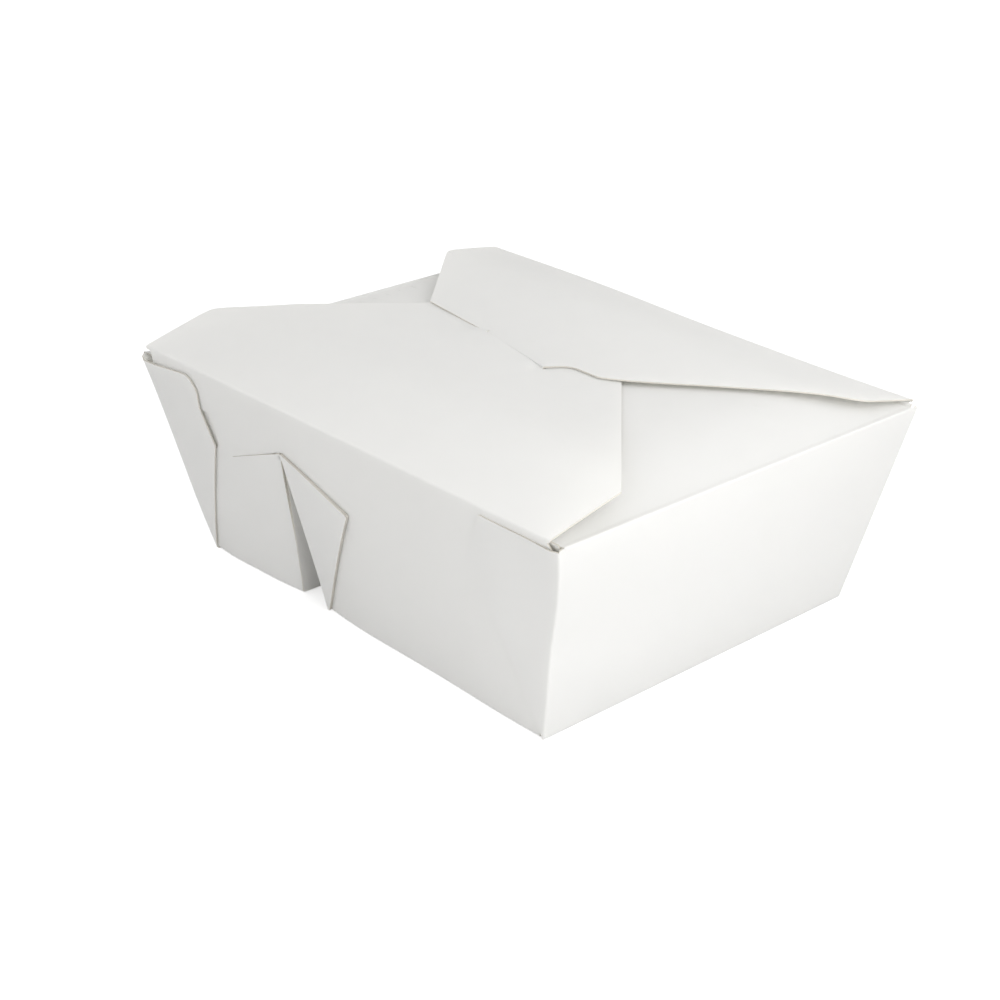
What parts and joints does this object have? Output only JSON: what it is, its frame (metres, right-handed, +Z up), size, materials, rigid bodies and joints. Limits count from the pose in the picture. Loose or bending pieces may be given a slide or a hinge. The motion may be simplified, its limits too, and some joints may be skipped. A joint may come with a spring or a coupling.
{
  "type": "takeout food box",
  "caption": "Closed white paperboard takeout box with two compartments, folded side gussets and a lid of two interlocking flaps.",
  "frame": {"origin": "on the table, under the middle of the rim", "axes": "+X along the length to the large compartment's end wall, +Z up, -Y to the long wall that carries the slit flap"},
  "size_m": [0.19, 0.1484, 0.0744],
  "materials": {
    "white_board": "white coated paperboard, smooth and slightly satin",
    "white_board_flap": "white coated paperboard, smooth and slightly satin"
  },
  "bodies": {
    "carton": {"carton": "white_board"},
    "tab_flap": {"tab_flap": "white_board_flap"}
  },
  "joints": [
    {"name": "flap_hinge", "type": "hinge", "parent": "carton", "child": "tab_flap", "pos_m": [0, 0.07351, 0.068], "axis": [-1, 0, 0], "range_deg": [0, 230]}
  ]
}
